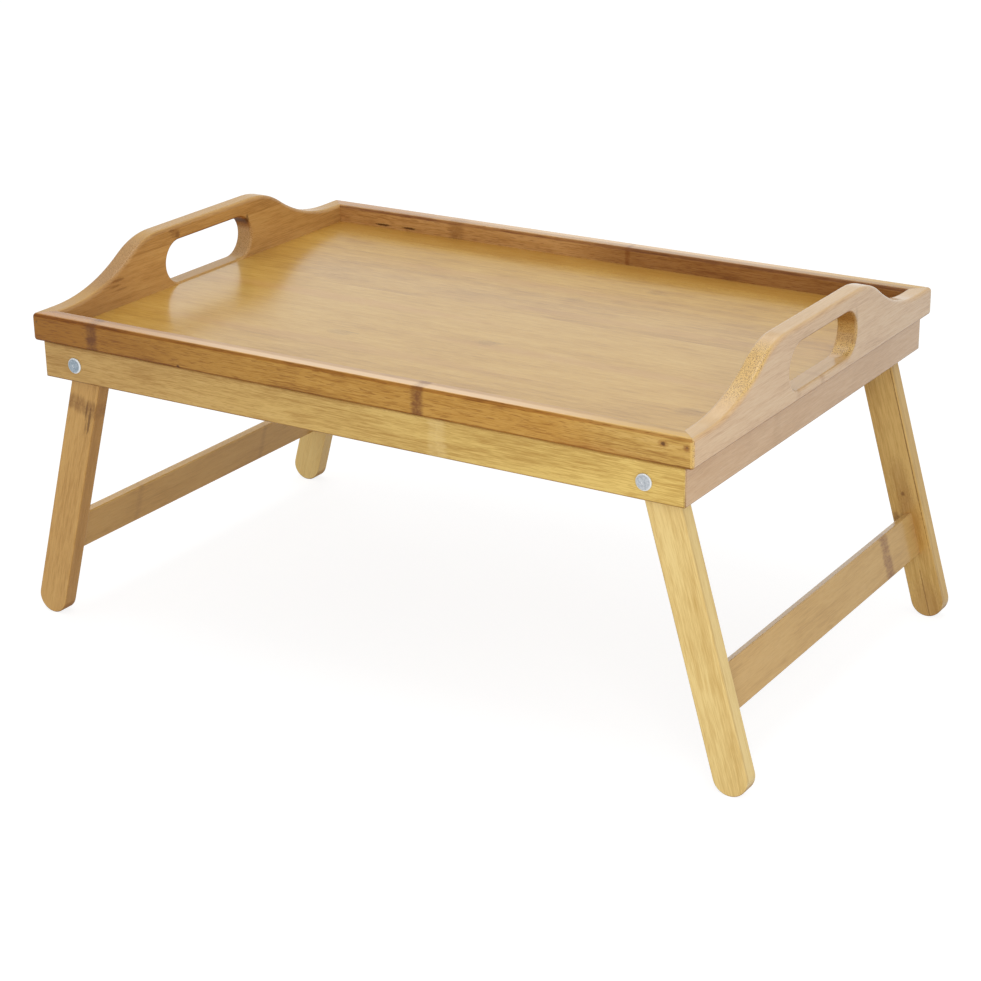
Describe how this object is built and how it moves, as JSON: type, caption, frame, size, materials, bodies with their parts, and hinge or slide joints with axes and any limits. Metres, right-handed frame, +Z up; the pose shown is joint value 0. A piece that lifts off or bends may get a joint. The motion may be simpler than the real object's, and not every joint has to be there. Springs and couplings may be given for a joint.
{
  "type": "bed tray table",
  "caption": "Bamboo bed tray: shallow rimmed tray with S-curved end handles, hand slots and an apron, on two splayed riveted leg frames that fold flat underneath.",
  "frame": {"origin": "on the floor under the middle of the tray, legs opened against their stops", "axes": "+X along the long side to the right, +Y to the back, +Z up"},
  "size_m": [0.561, 0.35, 0.26],
  "materials": {
    "rim": "satin clear-lacquered strip bamboo",
    "panel": "gloss clear-lacquered strip bamboo",
    "apron": "satin clear-lacquered strip bamboo",
    "legs": "satin clear-lacquered strip bamboo",
    "rivets": "bright zinc plate",
    "brads": "sunk and filled heads"
  },
  "bodies": {
    "tray": {"front_rim_rail": "rim", "back_rim_rail": "rim", "left_handle_board": "rim", "right_handle_board": "rim", "tray_panel": "panel", "front_apron": "apron", "back_apron": "apron", "left_apron": "apron", "right_apron": "apron", "rim_brads": "brads", "left_front_rivet": "rivets", "left_front_spacer": "rivets", "left_front_washer": "rivets", "left_back_rivet": "rivets", "left_back_spacer": "rivets", "left_back_washer": "rivets", "right_front_rivet": "rivets", "right_front_spacer": "rivets", "right_front_washer": "rivets", "right_back_rivet": "rivets", "right_back_spacer": "rivets", "right_back_washer": "rivets"},
    "left_leg_frame": {"left_front_leg": "legs", "left_back_leg": "legs", "left_crossbar": "legs"},
    "right_leg_frame": {"right_front_leg": "legs", "right_back_leg": "legs", "right_crossbar": "legs"}
  },
  "joints": [
    {"name": "left_leg_fold", "type": "hinge", "parent": "tray", "child": "left_leg_frame", "pos_m": [-0.2164, 0, 0.1975], "axis": [0, -1, 0], "range_deg": [0, 105.75]},
    {"name": "right_leg_fold", "type": "hinge", "parent": "tray", "child": "right_leg_frame", "pos_m": [0.2164, 0, 0.1975], "axis": [0, 1, 0], "range_deg": [0, 105.75]}
  ]
}
